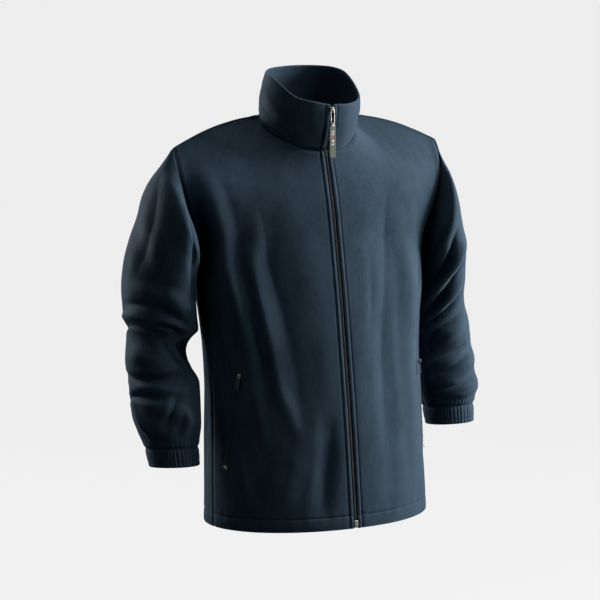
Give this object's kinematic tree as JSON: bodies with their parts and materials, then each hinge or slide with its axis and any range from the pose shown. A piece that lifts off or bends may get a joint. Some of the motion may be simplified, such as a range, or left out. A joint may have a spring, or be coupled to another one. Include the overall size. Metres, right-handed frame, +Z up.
{
  "type": "fleece zip jacket",
  "caption": "Men's fleece jacket, filled out with no wearer: stand collar, full-length front zip, set-in sleeves with half-elasticated cuffs, and a zipped pocket at each side.",
  "frame": {"origin": "midway between the shoulder points, at the height of the shoulder seams, where the jacket is held", "axes": "+Z up, the front of the jacket faces -Y, the wearer's left is +X"},
  "size_m": [0.6645, 0.3078, 0.7779],
  "materials": {
    "fleece": "brushed fleece with a soft pile",
    "zip_tape": "woven tape",
    "zip_coil": "moulded coil",
    "zip_metal": "plated",
    "zip_puller": "moulded, matt"
  },
  "bodies": {
    "jacket": {"back": "fleece", "collar": "fleece", "cuff_left": "fleece", "cuff_right": "fleece", "front_left": "fleece", "front_right": "fleece", "pocket_slider_left": "zip_metal", "pocket_slider_right": "zip_metal", "pocket_stop_left": "zip_metal", "pocket_stop_right": "zip_metal", "pocket_zip_left": "zip_coil", "pocket_zip_right": "zip_coil", "sleeve_left": "fleece", "sleeve_right": "fleece", "zip_box": "zip_metal", "zip_coil": "zip_coil", "zip_slider": "zip_metal", "zip_tape_left": "zip_tape", "zip_tape_right": "zip_tape"},
    "pull_link": {"zip_link": "zip_metal"},
    "pull_tab": {"zip_puller": "zip_puller"},
    "pocket_pull_left": {"pocket_pull_left": "zip_puller"},
    "pocket_pull_right": {"pocket_pull_right": "zip_puller"}
  },
  "joints": [
    {"name": "zip_link_swing", "type": "hinge", "parent": "jacket", "child": "pull_link", "pos_m": [0, -0.10041, 0.01864], "axis": [-1, 0, 0], "range_deg": [-3, 165]},
    {"name": "zip_puller_swing", "type": "hinge", "parent": "pull_link", "child": "pull_tab", "pos_m": [0, -0.10041, -0.00436], "axis": [-1, 0, 0], "range_deg": [-4, 80]},
    {"name": "pocket_pull_left_swing", "type": "hinge", "parent": "jacket", "child": "pocket_pull_left", "pos_m": [0.17588, -0.09508, -0.42518], "axis": [-0.5321, -0.8422, -0.087], "range_deg": [0, 150]},
    {"name": "pocket_pull_right_swing", "type": "hinge", "parent": "jacket", "child": "pocket_pull_right", "pos_m": [-0.17635, -0.09563, -0.4252], "axis": [-0.5479, 0.8309, 0.0966], "range_deg": [0, 150]}
  ]
}
